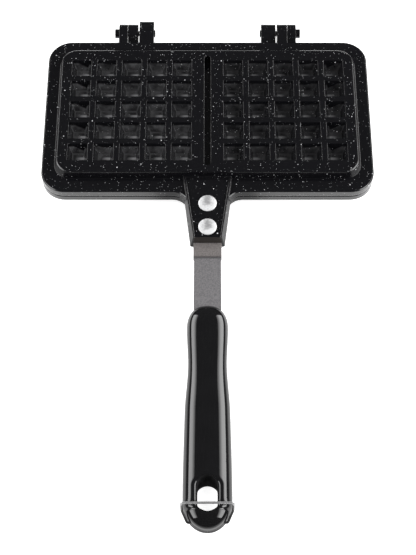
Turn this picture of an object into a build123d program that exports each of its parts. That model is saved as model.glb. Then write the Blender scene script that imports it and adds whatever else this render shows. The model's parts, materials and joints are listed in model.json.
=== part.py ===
"""Stovetop waffle iron: two identical plate castings hinged at the back, each with a bent steel
strap riveted into its neck and a moulded half grip on the strap, and a wire bail at the grip's tip
that locks the two handles together.

Millimetres. +X is to the right, +Y towards the hinge and +Z up. The iron lies closed on its lower
plate and lower grip, with the origin on that surface, under the middle of its overall length.
"""

import os
from math import acos, atan2, cos, hypot, radians, sin, tan

from build123d import *

# ------------------------------------------------------------------ driving sizes
# Flange and raised panel of a plate casting, measured up from the parting plane
plate_width = 240.0
plate_depth = 134.4
plate_corner_radius = 17.5
flange_height = 6.0
flange_edge_chamfer = 0.8
casting_height = 12.5
panel_side_margin = 9.3
panel_end_margin = 11.3
panel_corner_radius = 12.0
panel_draft = 13.5
panel_edge_chamfer = 0.7
parting_gap = 0.3

# Waffle cavity, its studs and the rib that divides it in two
panel_wall = 2.5
ceiling_wall = 2.8
cavity_draft = 10.0
cavity_corner_radius = 9.0
stud_rows = 5
stud_columns = 5
stud_pitch = 18.75
first_column = 19.0
pocket_width = 14.5
pocket_depth = 9.2
stud_draft = 17.5
stud_wall = 1.6
stud_tip_gap = 2.1
groove_width = 4.8
groove_length = 98.0
groove_depth = 9.0
rib_wall = 1.6
rib_draft = 6.0
rib_tip_gap = 1.5

# Neck that carries the strap
neck_reach = 41.45
neck_height = 7.7
neck_root_width = 35.2
neck_foot_root_width = 37.6
neck_end_width = 20.0
neck_foot_end_width = 24.4
neck_end_slope = 3.0
neck_web_radius = 12.0
neck_web_end_width = 18.0
neck_tray_depth = 0.9
neck_ridge_width = 1.5
neck_tray_margin = 0.8
neck_overlap = 3.0

# Hinge: three lugs on each side, on one pin
hinge_setback = 12.65
barrel_radius = 7.2
lug_corner_reach = 6.4
pin_radius = 2.0
pin_clearance = 0.08
pin_head_radius = 3.5
pin_head_height = 3.3
pin_tail_radius = 2.7
pin_tail_height = 0.8
pin_end_play = 0.1
outer_lug_end = 67.6
outer_lug_width = 6.5
middle_lug_width = 7.8
inner_lug_width = 11.1
lug_side_gap = 0.3
inner_lug_gap = 0.9
lug_arm_top = 5.0
lug_arm_foot = 0.5
lug_arm_overlap = 1.0

# Strap
strap_thickness = 2.5
strap_root_width = 19.8
strap_width = 19.0
strap_root_clearance = 1.5
strap_exposed = 48.6
strap_shoulder_reach = 10.6
strap_rise = 1.6
strap_in_grip = 72.0
strap_side_clearance = 0.1

# Rivets
rivet_head_radius = 6.5
rivet_head_height = 1.5
rivet_shank_radius = 3.0
rivet_clearance = 0.05
first_rivet_setback = 10.45
rivet_spacing = 19.3

# Grip: an oval that swells and narrows along its length, halved at the parting plane. Each
# station is a distance and the oval's half width there, from the nose back or from the tip forward
grip_length = 159.7
grip_lens_half_width = 7.0
nose_half_width = 14.1
nose_length = 16.7
nose_end_radius = 12.3
tip_half_width = 16.1
tip_length = 19.0
tip_end_radius = 14.1
nose_stations = [(0.0, 9.2), (5.0, 12.6), (nose_length, nose_half_width), (43.7, 13.1), (77.5, 15.1)]
tip_stations = [(tip_length, tip_half_width), (9.5, 15.1), (3.0, 12.2), (0.0, 9.2)]
hang_hole_width = 13.0
hang_hole_length = 23.5
hang_hole_setback = 10.8
hang_hole_mouth = 3.6

# Screw that holds the tang in the grip
screw_radius = 2.0
screw_head_radius = 3.8
screw_head_height = 1.1
screw_grip_depth = 4.0
screw_tip_space = 0.5
screw_clearance = 0.05
screw_setback = 46.0

# Wire bail
wire_radius = 0.8
bail_pivot_setback = 5.5
bail_pivot_height = 2.6
bail_pivot_clearance = 0.06
bail_half_width = 16.5
bail_knee_half_width = 16.4
bail_knee_setback = 12.4
bail_knee_height = 6.0
bail_foot_half_width = 13.5
bail_end_half_width = 8.6
bail_hole_depth = 0.3
bail_bar_setback = 15.0
bail_crown_clearance = 0.3

# ------------------------------------------------------------------ derived places
half_gap = parting_gap / 2
parting_z = casting_height
overall_length = barrel_radius + hinge_setback + plate_depth + neck_reach + strap_exposed + grip_length
hinge_y = overall_length / 2 - barrel_radius
plate_back_y = hinge_y - hinge_setback
plate_y = plate_back_y - plate_depth / 2
plate_front_y = plate_back_y - plate_depth
neck_end_y = plate_front_y - neck_reach
nose_y = neck_end_y - strap_exposed
tip_y = nose_y - grip_length

panel_width = plate_width - 2 * panel_side_margin
panel_depth = plate_depth - 2 * panel_end_margin
panel_front_y = plate_y - panel_depth / 2
neck_root_y = panel_front_y + neck_overlap
neck_top_end_y = neck_end_y + neck_end_slope
tray_root_y = panel_front_y - neck_tray_margin
tray_narrowing = (neck_root_width - neck_end_width) / (neck_root_y - neck_top_end_y)
tray_root_width = neck_root_width - 2 * neck_ridge_width - tray_narrowing * (neck_root_y - tray_root_y)
ceiling_height = casting_height - ceiling_wall
panel_lean = (ceiling_height - flange_height) * tan(radians(panel_draft))
cavity_lean = ceiling_height * tan(radians(cavity_draft))
cavity_inset = panel_lean + panel_wall - cavity_lean
cavity_width = panel_width - 2 * cavity_inset
cavity_depth = panel_depth - 2 * cavity_inset
field_x = first_column + (stud_columns - 1) / 2 * stud_pitch
stud_width = pocket_width - 2 * ceiling_wall * tan(radians(stud_draft)) + 2 * stud_wall
rib_half_width = groove_width / 2 + rib_wall
rib_lean = (ceiling_height - rib_tip_gap) * tan(radians(rib_draft))

strap_foot = half_gap
strap_top = strap_foot + strap_thickness
strap_root_y = plate_front_y - strap_root_clearance
shoulder_y = neck_end_y - strap_shoulder_reach
strap_end_y = nose_y - strap_in_grip
tang_foot = strap_foot + strap_rise
tang_top = tang_foot + strap_thickness
rivet_ys = [plate_front_y - first_rivet_setback - i * rivet_spacing for i in range(2)]
tray_floor = neck_height - neck_tray_depth
rivet_top = tray_floor + rivet_head_height
channel_root_y = strap_root_y + strap_side_clearance
channel_end_y = neck_end_y - neck_end_slope
screw_top = tang_top + screw_grip_depth
tang_channel_end_y = strap_end_y - strap_side_clearance
hang_hole_y = tip_y + hang_hole_setback + hang_hole_length / 2
grip_stations = [(nose_y - setback, half_width) for setback, half_width in nose_stations]
grip_stations += [(tip_y + setback, half_width) for setback, half_width in tip_stations]
screw_y = nose_y - screw_setback

# Lug edges, from the outside in, as distances from the middle of the iron
outer_lug = (outer_lug_end - outer_lug_width, outer_lug_end)
middle_lug_out = outer_lug[0] - lug_side_gap
middle_lug = (middle_lug_out - middle_lug_width, middle_lug_out)
inner_lug_out = middle_lug[0] - inner_lug_gap
inner_lug = (inner_lug_out - inner_lug_width, inner_lug_out)

pin_tail_x = inner_lug[0] - pin_end_play - pin_tail_height

# The bail pivots near the tip, its arms rise beside the grip, and its bar lies on the crown
bail_pivot_y = tip_y + bail_pivot_setback
bail_knee_y = tip_y + bail_knee_setback
bail_bar_y = tip_y + bail_bar_setback
bail_hole_bottom = bail_end_half_width - bail_hole_depth
tip_slope = (tip_stations[0][1] - tip_stations[1][1]) / (tip_stations[0][0] - tip_stations[1][0])
crown_at_bar = casting_height - tip_slope * (tip_stations[0][0] - bail_bar_setback)
bail_bar_height = crown_at_bar + bail_crown_clearance + wire_radius

turn_over = Axis((0, 0, parting_z), (0, 1, 0))


def facing_up(height, y=0.0):
    """A level plane that far above the parting plane, facing up."""
    return Plane((0, y, parting_z + height))


def facing_down(height, y=0.0):
    """The same plane, facing down, so that an extrusion from it goes down."""
    return Plane(origin=(0, y, parting_z + height), x_dir=(1, 0, 0), z_dir=(0, 0, -1))


def drafted_block(width, depth, height, draft, corner_radius):
    """A block with rounded corners that narrows upwards by its draft."""
    lean = height * tan(radians(draft))
    with BuildPart() as block:
        Wedge(
            width,
            height,
            depth,
            lean,
            lean,
            width - lean,
            depth - lean,
            rotation=(90, 0, 0),
            align=(Align.CENTER, Align.MIN, Align.CENTER),
        )
        fillet(block.edges().filter_by(lambda edge: edge.tangent_at(0).Z**2 > 0.5), corner_radius)
    return block.part


def stud_field(height, width, depth, mode=Mode.ADD):
    """Places a tapered block at each stud of both fields, hanging down from that height."""
    lean = depth * tan(radians(stud_draft))
    top = parting_z + height
    with Locations((-field_x, plate_y, top), (field_x, plate_y, top)):
        with GridLocations(stud_pitch, stud_pitch, stud_columns, stud_rows):
            Wedge(
                width,
                depth,
                width,
                lean,
                lean,
                width - lean,
                width - lean,
                rotation=(-90, 0, 0),
                align=(Align.CENTER, Align.MIN, Align.CENTER),
                mode=mode,
            )


def neck_outline(root_width, end_width, root_y, end_y):
    """Sketches the neck's taper, wide at the plate and narrow at the strap."""
    Polygon(
        (-root_width / 2, root_y),
        (root_width / 2, root_y),
        (end_width / 2, end_y),
        (-end_width / 2, end_y),
        align=None,
    )


def oval(half_width, half_height, rounding):
    """Sketches an oval of four arcs: a pointed lens, swollen by the radius of its two ends."""
    lens_half_width = half_width - rounding
    lens_half_height = half_height - rounding
    radius = (lens_half_width**2 + lens_half_height**2) / (2 * lens_half_height)
    with Locations((0, lens_half_height - radius)):
        Circle(radius)
    with Locations((0, radius - lens_half_height)):
        Circle(radius, mode=Mode.INTERSECT)
    offset(amount=rounding)


def hinge_plane(x):
    """A plane across the hinge at that distance from the middle, with the pin's axis as its origin."""
    return Plane(origin=(x, hinge_y, parting_z), x_dir=(0, 1, 0), z_dir=(1, 0, 0))


def tangent_point(back, height, side):
    """Where a line from that point touches the hinge barrel, on its upper (1) or lower (-1) side."""
    turn = acos(barrel_radius / hypot(back, height))
    angle = atan2(height, back) - side * turn
    return barrel_radius * cos(angle), barrel_radius * sin(angle)


def hinge_lug(start, width, squared=False):
    """A hinge lug: a round barrel on an arm that runs into the flange, squared behind if asked."""
    arm_back = -hinge_setback - lug_arm_overlap
    foot_back = -hinge_setback + lug_arm_foot
    with BuildPart() as lug:
        with BuildSketch(hinge_plane(start)):
            Circle(barrel_radius)
            Polygon(
                (arm_back, lug_arm_top),
                tangent_point(arm_back, lug_arm_top, 1),
                (0, 0),
                tangent_point(foot_back, half_gap, -1),
                (foot_back, half_gap),
                (arm_back, half_gap),
                align=None,
            )
            if squared:
                with Locations((lug_corner_reach / 2, lug_corner_reach / 2)):
                    Rectangle(lug_corner_reach, lug_corner_reach)
        extrude(amount=width)
    return lug.part


# ------------------------------------------------------------------ plate castings
# On the left the upper casting has the two outer lugs of three, on the right the middle one.
# Turned over, the same casting has them the other way round, so the two halves interleave.
outer_lug_part = hinge_lug(-outer_lug[1], outer_lug_width)
inner_lug_part = hinge_lug(-inner_lug[1], inner_lug_width, squared=True)
middle_lug_part = hinge_lug(middle_lug[0], middle_lug_width)

panel_block = drafted_block(
    panel_width, panel_depth, casting_height - flange_height, panel_draft, panel_corner_radius
)
cavity_block = drafted_block(
    cavity_width, cavity_depth, ceiling_height, cavity_draft, cavity_corner_radius
)

with BuildPart() as casting:
    # Flange with the web that spreads from it into the neck
    with BuildSketch(facing_up(half_gap)) as flange_outline:
        with Locations((0, plate_y)):
            RectangleRounded(plate_width, plate_depth, plate_corner_radius)
        neck_outline(neck_root_width, neck_web_end_width, neck_root_y, neck_top_end_y)
        corners = flange_outline.vertices().filter_by_position(
            Axis.Y, plate_front_y - 0.01, plate_front_y + 0.01
        )
        fillet(corners.filter_by_position(Axis.X, -neck_root_width, neck_root_width), neck_web_radius)
    extrude(amount=flange_height - half_gap)
    chamfer(casting.faces().sort_by(Axis.Z)[-1].outer_wire().edges(), flange_edge_chamfer)

    # Neck, leaning in towards its end
    with BuildSketch(facing_up(half_gap)):
        neck_outline(neck_foot_root_width, neck_foot_end_width, neck_root_y, neck_end_y)
    with BuildSketch(facing_up(neck_height)):
        neck_outline(neck_root_width, neck_end_width, neck_root_y, neck_top_end_y)
    loft(ruled=True)

    # Raised panel
    with Locations((0, plate_y, parting_z + flange_height)):
        add(panel_block)
    chamfer(casting.faces().sort_by(Axis.Z)[-1].outer_wire().edges(), panel_edge_chamfer)

    # Waffle cavity, its studs and the rib between its two halves
    with Locations((0, plate_y, parting_z)):
        add(cavity_block, mode=Mode.SUBTRACT)
    stud_field(ceiling_height, stud_width, ceiling_height - stud_tip_gap)
    with BuildSketch(Plane.XZ.offset(-plate_y - panel_depth / 2 + panel_lean)):
        Polygon(
            (-rib_half_width, parting_z + ceiling_height),
            (rib_half_width, parting_z + ceiling_height),
            (rib_half_width - rib_lean, parting_z + rib_tip_gap),
            (-rib_half_width + rib_lean, parting_z + rib_tip_gap),
            align=None,
        )
    extrude(amount=panel_depth - 2 * panel_lean)

    # Hollow backs of the studs and of the rib
    stud_field(casting_height, pocket_width, pocket_depth, mode=Mode.SUBTRACT)
    with BuildSketch(facing_down(casting_height, plate_y)):
        SlotOverall(groove_length, groove_width, rotation=90)
    extrude(amount=groove_depth, mode=Mode.SUBTRACT)

    # Tray along the neck's top between its two ridges, and the channel under it for the strap
    with BuildSketch(facing_up(neck_height)):
        neck_outline(
            tray_root_width, neck_end_width - 2 * neck_ridge_width, tray_root_y, neck_end_y - 1
        )
    extrude(amount=-neck_tray_depth, mode=Mode.SUBTRACT)
    with BuildSketch(facing_up(0)):
        with Locations((0, (channel_root_y + channel_end_y) / 2)):
            Rectangle(strap_root_width + 2 * strap_side_clearance, channel_root_y - channel_end_y)
    extrude(amount=strap_top, mode=Mode.SUBTRACT)
    with BuildSketch(facing_up(0)):
        with Locations(*[(0, y) for y in rivet_ys]):
            Circle(rivet_shank_radius + rivet_clearance)
    extrude(amount=casting_height, mode=Mode.SUBTRACT)

    # Hinge lugs, bored for the pins
    add([outer_lug_part, inner_lug_part, middle_lug_part])
    with BuildSketch(hinge_plane(-plate_width / 2)):
        Circle(pin_radius + pin_clearance)
    extrude(amount=plate_width, mode=Mode.SUBTRACT)

with BuildPart() as upper_plate:
    add(casting.part)

with BuildPart() as lower_plate:
    add(casting.part.rotate(turn_over, 180))

# ------------------------------------------------------------------ hinge pins
with BuildPart() as pin:
    with BuildSketch(hinge_plane(outer_lug_end + pin_end_play)):
        Circle(pin_head_radius)
    extrude(amount=pin_head_height)
    with BuildSketch(hinge_plane(pin_tail_x)):
        Circle(pin_radius)
    extrude(amount=outer_lug_end + pin_end_play - pin_tail_x)
    with BuildSketch(hinge_plane(pin_tail_x)):
        Circle(pin_tail_radius)
    extrude(amount=pin_tail_height)

with BuildPart() as right_hinge_pin:
    add(pin.part)

with BuildPart() as left_hinge_pin:
    add(pin.part.mirror(Plane.YZ))

# ------------------------------------------------------------------ straps
with BuildPart() as strap:
    # Side view of the bent strip: flat in the neck, rising to the grip, flat again as the tang
    with BuildSketch(Plane.YZ.offset(-strap_root_width / 2)):
        Polygon(
            (strap_root_y, parting_z + strap_foot),
            (strap_root_y, parting_z + strap_top),
            (shoulder_y, parting_z + strap_top),
            (nose_y, parting_z + tang_top),
            (strap_end_y, parting_z + tang_top),
            (strap_end_y, parting_z + tang_foot),
            (nose_y, parting_z + tang_foot),
            (shoulder_y, parting_z + strap_foot),
            align=None,
        )
    extrude(amount=strap_root_width)
    # Narrower from the shoulder on
    with BuildSketch(facing_up(0)):
        for side in (-1, 1):
            with Locations((side * (strap_width / 2 + strap_root_width / 4), (shoulder_y + strap_end_y) / 2)):
                Rectangle(strap_root_width / 2, shoulder_y - strap_end_y)
    extrude(amount=casting_height, mode=Mode.SUBTRACT)
    with BuildSketch(facing_up(0)):
        with Locations(*[(0, y) for y in rivet_ys]):
            Circle(rivet_shank_radius + rivet_clearance)
        with Locations((0, screw_y)):
            Circle(screw_radius + screw_clearance)
    extrude(amount=casting_height, mode=Mode.SUBTRACT)

with BuildPart() as upper_strap:
    add(strap.part)

with BuildPart() as lower_strap:
    add(strap.part.rotate(turn_over, 180))

# ------------------------------------------------------------------ rivets
with BuildPart() as rivet:
    with BuildSketch(Plane.XZ):
        Polygon(
            (0, rivet_top),
            (0, strap_foot),
            (rivet_shank_radius, strap_foot),
            (rivet_shank_radius, tray_floor),
            (rivet_head_radius, tray_floor),
            (rivet_head_radius, rivet_top),
            align=None,
        )
    revolve(axis=Axis.Z)

with BuildPart() as upper_rivets:
    with Locations(*[(0, y, parting_z) for y in rivet_ys]):
        add(rivet.part)

with BuildPart() as lower_rivets:
    add(upper_rivets.part.rotate(turn_over, 180))

# ------------------------------------------------------------------ grips
with BuildPart() as grip:
    # Oval sections, all swollen from the same lens
    for station_y, half_width in grip_stations:
        with BuildSketch(Plane(origin=(0, station_y, parting_z), x_dir=(1, 0, 0), z_dir=(0, -1, 0))):
            half_height = casting_height - tip_half_width + half_width
            oval(half_width, half_height, half_width - grip_lens_half_width)
    loft(ruled=True)
    # Rounded ends, seen from above
    for end_y, back, half_width, length, end_radius in (
        (nose_y, -1, nose_half_width, nose_length, nose_end_radius),
        (tip_y, 1, tip_half_width, tip_length, tip_end_radius),
    ):
        end_plane = Plane((0, end_y + back * length, parting_z + half_gap), x_dir=(0, back, 0))
        with BuildSketch(end_plane):
            oval(length, half_width, end_radius)
            with Locations((grip_length / 2, 0)):
                Rectangle(grip_length, 2 * tip_half_width)
        extrude(amount=casting_height, mode=Mode.INTERSECT)
    # Hanging hole, flared on the crown
    with BuildSketch(facing_up(0, hang_hole_y)):
        SlotOverall(hang_hole_length, hang_hole_width, rotation=90)
    extrude(amount=casting_height, mode=Mode.SUBTRACT)
    with BuildSketch(facing_down(casting_height, hang_hole_y)):
        SlotOverall(
            hang_hole_length + 2 * hang_hole_mouth, hang_hole_width + 2 * hang_hole_mouth, rotation=90
        )
    extrude(amount=hang_hole_mouth, taper=45, mode=Mode.SUBTRACT)
    # Channel in the flat side for the strap's tang, and a blind hole for its screw
    with BuildSketch(facing_up(0)):
        with Locations((0, (nose_y + tang_channel_end_y) / 2)):
            Rectangle(strap_width + 2 * strap_side_clearance, nose_y - tang_channel_end_y)
    extrude(amount=tang_top, mode=Mode.SUBTRACT)
    with BuildSketch(facing_up(0)):
        with Locations((0, screw_y)):
            Circle(screw_radius + screw_clearance)
    extrude(amount=tang_top + screw_grip_depth + screw_tip_space, mode=Mode.SUBTRACT)

with BuildPart() as upper_grip:
    add(grip.part)
    # Holes in its sides for the ends of the bail
    with BuildSketch(Plane.YZ.offset(-tip_half_width)):
        with Locations((bail_pivot_y, parting_z + bail_pivot_height)):
            Circle(wire_radius + bail_pivot_clearance)
    extrude(amount=tip_half_width - bail_hole_bottom, mode=Mode.SUBTRACT)
    with BuildSketch(Plane.YZ.offset(bail_hole_bottom)):
        with Locations((bail_pivot_y, parting_z + bail_pivot_height)):
            Circle(wire_radius + bail_pivot_clearance)
    extrude(amount=tip_half_width - bail_hole_bottom, mode=Mode.SUBTRACT)

with BuildPart() as lower_grip:
    add(grip.part.rotate(turn_over, 180))

# ------------------------------------------------------------------ grip screws
with BuildPart() as screw:
    with BuildSketch(Plane.XZ):
        Polygon(
            (0, tang_foot - screw_head_height),
            (screw_head_radius, tang_foot - screw_head_height),
            (screw_head_radius, tang_foot),
            (screw_radius, tang_foot),
            (screw_radius, screw_top),
            (0, screw_top),
            align=None,
        )
    revolve(axis=Axis.Z)

with BuildPart() as upper_grip_screw:
    with Locations((0, screw_y, parting_z)):
        add(screw.part)

with BuildPart() as lower_grip_screw:
    add(upper_grip_screw.part.rotate(turn_over, 180))

# ------------------------------------------------------------------ wire bail
with BuildPart() as locking_bail:
    pivot_z = parting_z + bail_pivot_height
    knee_z = parting_z + bail_knee_height
    bar_z = parting_z + bail_bar_height
    with BuildLine() as bail_path:
        Polyline(
            (-bail_end_half_width, bail_pivot_y, pivot_z),
            (-bail_foot_half_width, bail_pivot_y, pivot_z),
            (-bail_knee_half_width, bail_knee_y, knee_z),
            (-bail_half_width, bail_bar_y, bar_z),
            (bail_half_width, bail_bar_y, bar_z),
            (bail_knee_half_width, bail_knee_y, knee_z),
            (bail_foot_half_width, bail_pivot_y, pivot_z),
            (bail_end_half_width, bail_pivot_y, pivot_z),
        )
    with BuildSketch(Plane(origin=bail_path.line @ 0, z_dir=bail_path.line % 0)):
        Circle(wire_radius)
    sweep(path=bail_path.line, transition=Transition.RIGHT)

# ------------------------------------------------------------------ STEP files, one for each piece
pieces = {
    "upper_plate": upper_plate,
    "lower_plate": lower_plate,
    "left_hinge_pin": left_hinge_pin,
    "right_hinge_pin": right_hinge_pin,
    "upper_strap": upper_strap,
    "lower_strap": lower_strap,
    "upper_rivets": upper_rivets,
    "lower_rivets": lower_rivets,
    "upper_grip": upper_grip,
    "lower_grip": lower_grip,
    "upper_grip_screw": upper_grip_screw,
    "lower_grip_screw": lower_grip_screw,
    "locking_bail": locking_bail,
}
os.makedirs("parts", exist_ok=True)
for name, piece in pieces.items():
    piece.part.label = name
    export_step(piece.part, f"parts/{name}.step")
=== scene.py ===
"""Looks of the stovetop waffle iron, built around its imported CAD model.

Metres, in the CAD model's own frame: +X to the right, +Y towards the hinge, +Z up, and the closed
iron lies on z = 0. The castings, straps, pins and screws are the CAD nodes with softened edges and
finishes of their own. The rivets, grips and wire bail are modelled here, smoother than the CAD.
"""

import json
from math import cos, pi, radians, sin, sqrt, tan

import bmesh
import bpy
from bpy.props import FloatProperty, FloatVectorProperty, PointerProperty
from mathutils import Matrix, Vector


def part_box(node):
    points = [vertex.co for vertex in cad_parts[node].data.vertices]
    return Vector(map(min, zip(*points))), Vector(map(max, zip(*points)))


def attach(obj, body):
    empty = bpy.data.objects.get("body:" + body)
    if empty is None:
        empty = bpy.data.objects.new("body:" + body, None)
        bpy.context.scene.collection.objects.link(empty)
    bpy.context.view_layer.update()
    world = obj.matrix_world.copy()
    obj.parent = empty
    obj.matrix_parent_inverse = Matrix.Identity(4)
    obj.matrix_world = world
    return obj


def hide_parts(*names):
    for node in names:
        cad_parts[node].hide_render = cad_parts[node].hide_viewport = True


bl_info = {
    "name": "Stovetop Waffle Iron",
    "version": (1, 0, 0),
    "blender": (4, 5, 0),
    "location": "View3D > Sidebar > Waffle Iron",
    "description": "Finishes, smooth grips, rivets, wire bail and studio of a stovetop waffle iron",
    "category": "Add Mesh",
}

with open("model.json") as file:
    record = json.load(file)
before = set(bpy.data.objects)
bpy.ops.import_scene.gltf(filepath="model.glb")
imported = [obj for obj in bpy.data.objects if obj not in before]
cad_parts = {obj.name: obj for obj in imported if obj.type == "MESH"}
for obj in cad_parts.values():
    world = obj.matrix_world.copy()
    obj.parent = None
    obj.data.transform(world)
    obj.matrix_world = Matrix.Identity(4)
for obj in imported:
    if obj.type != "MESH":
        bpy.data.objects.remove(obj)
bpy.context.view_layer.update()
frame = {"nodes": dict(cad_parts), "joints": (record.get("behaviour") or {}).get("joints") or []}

MM = 0.001

# Places that the CAD model settles
GRIP_LOW, GRIP_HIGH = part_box("upper_grip")
STRAP_LOW, STRAP_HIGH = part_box("upper_strap")
RIVETS_LOW, RIVETS_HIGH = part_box("upper_rivets")
_, BAIL_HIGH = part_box("locking_bail")
LOWER_PLATE_LOW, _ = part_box("lower_plate")
_, UPPER_PLATE_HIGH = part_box("upper_plate")
BASE_Z = LOWER_PLATE_LOW.z
PLATE_TOP = UPPER_PLATE_HIGH.z
PARTING_Z = (BASE_Z + PLATE_TOP) / 2
HALF_GAP = GRIP_LOW.z - PARTING_Z
NOSE_Y = GRIP_HIGH.y
TIP_Y = GRIP_LOW.y
GRIP_LENGTH = NOSE_Y - TIP_Y
GRIP_HALF_WIDTH = (GRIP_HIGH.x - GRIP_LOW.x) / 2
GRIP_HEIGHT = GRIP_HIGH.z - PARTING_Z
RIVET_RADIUS = (RIVETS_HIGH.x - RIVETS_LOW.x) / 2
JOINTS = {joint["name"]: joint for joint in frame["joints"]}
BAIL_PIVOT = Vector(JOINTS["bail_swing"]["pos_m"])

# Where the neck ends, and nearer the grip the crease at which the strap's browned part ends
NECK_END_Y = 6.3 * MM
SHOULDER_Y = NECK_END_Y - 10.6 * MM

# The stud pockets of the castings
PLATE_Y = 114.95 * MM
POCKET_PITCH = 18.75 * MM
POCKET_FIRST = 19.0 * MM
POCKET_HALF_WIDTH = 7.25 * MM
POCKET_DEPTH = 9.2 * MM
POCKET_DRAFT = tan(radians(17.5))

# The wire bail's bends, from the tip back, out from the middle and up from the parting plane
WIRE_RADIUS = 0.8 * MM
BAIL_END_X = 8.6 * MM
BAIL_FOOT_X = 12.9 * MM
BAIL_KNEE = Vector((16.3, 12.4, 6.0)) * MM
BAIL_BAR_X = 16.5 * MM


# ------------------------------------------------------------------ settings
def distance_property(name, description, default):
    return FloatProperty(name=name, description=description, subtype="DISTANCE", default=default)


def angle_property(name, description, default):
    return FloatProperty(name=name, description=description, subtype="ANGLE", default=default)


def level_property(name, description, default):
    return FloatProperty(name=name, description=description, default=default)


def colour_property(name, description, default):
    return FloatVectorProperty(name=name, description=description, subtype="COLOR", default=default)


class WaffleCoatSettings(bpy.types.PropertyGroup):
    """The non-stick coat of the castings."""

    base_colour: colour_property(
        "Coat colour", "Colour of the coat between its flecks", (0.0037, 0.0037, 0.0046)
    )
    fleck_colour: colour_property(
        "Fleck colour", "Colour of the bright flecks in the coat", (0.85, 0.86, 0.88)
    )
    # The pocket colour is painted light: it stands in for light and reflections deep in the stud pockets
    pocket_light_colour: colour_property(
        "Pocket light colour",
        "Colour of the coat deep in the pockets, where light is painted",
        (0.15, 0.15, 0.155),
    )
    fleck_spacing: distance_property(
        "Fleck spacing", "Average distance between the places where a large fleck can lie", 3.4 * MM
    )
    speck_spacing: distance_property(
        "Speck spacing", "Average distance between the places where a small speck can lie", 1.5 * MM
    )
    edge_softness: distance_property(
        "Edge softness", "Width of the rounding that the casting's edges have", 0.45 * MM
    )
    edge_round: distance_property(
        "Edge round", "Reach of the soft shading over the casting's edges", 0.6 * MM
    )


class WaffleGripSettings(bpy.types.PropertyGroup):
    """The moulded grip halves, from their nose to their tip."""

    nose_half_width: distance_property(
        "Nose half width", "Half width where the nose's rounding ends", 14.1 * MM
    )
    nose_length: distance_property("Nose length", "Length of the nose's rounding", 16.7 * MM)
    waist_half_width: distance_property("Waist half width", "Half width at the narrowest place", 13.1 * MM)
    waist_setback: distance_property(
        "Waist setback", "Distance from the nose to the narrowest place", 43.7 * MM
    )
    palm_half_width: distance_property(
        "Palm half width", "Half width where the palm swell begins", 15.1 * MM
    )
    palm_setback: distance_property(
        "Palm setback", "Distance from the nose to the beginning of the palm swell", 77.5 * MM
    )
    tip_length: distance_property("Tip length", "Length of the tip's rounding", 19.0 * MM)
    hole_half_width: distance_property("Hole half width", "Half width of the hanging hole", 6.5 * MM)
    hole_length: distance_property("Hole length", "Length of the hanging hole", 23.5 * MM)
    hole_setback: distance_property("Hole setback", "Distance from the tip to the hanging hole", 10.8 * MM)
    mouth_radius: distance_property("Mouth radius", "Rounding of the hanging hole's mouth", 4.6 * MM)
    mouth_end_radius: distance_property(
        "Mouth end radius", "Rounding of the hole's mouth at the two ends of the hole", 1.6 * MM
    )
    groove_depth: distance_property(
        "Groove depth", "Depth of the groove that the bail's bar lies in", 1.6 * MM
    )
    groove_half_width: distance_property(
        "Groove half width", "Half width of the bail's groove with its rounded lips", 3.8 * MM
    )
    lip_radius: distance_property(
        "Lip radius", "Rounding of a grip half's edge at the parting plane", 0.7 * MM
    )
    colour: colour_property("Grip colour", "Colour of the moulded plastic", (0.0042, 0.0042, 0.0046))


class WaffleMetalSettings(bpy.types.PropertyGroup):
    """The straps, rivets, pins, screws and wire."""

    strap_colour: colour_property("Strap colour", "Colour of the steel strap", (0.165, 0.16, 0.165))
    rivet_colour: colour_property("Rivet colour", "Colour of the rivets", (0.86, 0.86, 0.87))
    dome_height: distance_property("Rivet dome height", "Height of a rivet's dome above its rim", 0.95 * MM)
    dimple_radius: distance_property(
        "Rivet dimple radius", "Radius of the dimple in a rivet's head", 2.4 * MM
    )
    dimple_depth: distance_property(
        "Rivet dimple depth", "Depth of the dimple in a rivet's head", 0.45 * MM
    )
    wire_bend_radius: distance_property(
        "Wire bend radius", "Radius of the bends in the wire bail", 1.4 * MM
    )
    wire_colour: colour_property("Wire colour", "Colour of the bail's wire", (0.36, 0.36, 0.365))


class WaffleStudioSettings(bpy.types.PropertyGroup):
    """Camera, floor and lights."""

    camera_height: distance_property("Camera height", "Height of the camera above the floor", 0.8444)
    camera_setback: distance_property(
        "Camera setback", "Distance of the camera before the middle of the iron", 0.4706
    )
    camera_tilt: angle_property(
        "Camera tilt", "Angle between the camera's view and straight down", radians(28.5)
    )
    focal_length: level_property("Focal length", "Focal length on a sensor 24 mm high", 58.86)
    right_panel_radiance: level_property(
        "Right panel radiance", "Brightness of the soft panel on the right", 7.0
    )
    left_panel_radiance: level_property(
        "Left panel radiance", "Brightness of the soft panel on the left", 6.0
    )
    overhead_radiance: level_property("Overhead radiance", "Brightness of the soft light overhead", 2.45)
    floor_lift: level_property("Floor lift", "How far the floor is lifted to white where it is seen", 0.7)
    floor_mirrored: level_property(
        "Floor in mirrors", "Brightness added to the floor where polish mirrors it", 0.75
    )
    floor_near: distance_property(
        "Bright floor reach",
        "Distance from the middle line to which the floor beside the handle is bright in polish",
        0.05,
    )
    floor_far: distance_property(
        "Dark floor reach", "Distance from the middle line beyond which that floor is dark in polish", 0.19
    )
    room_level: level_property("Room level", "Brightness of the room's walls and ceiling", 0.075)

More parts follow.
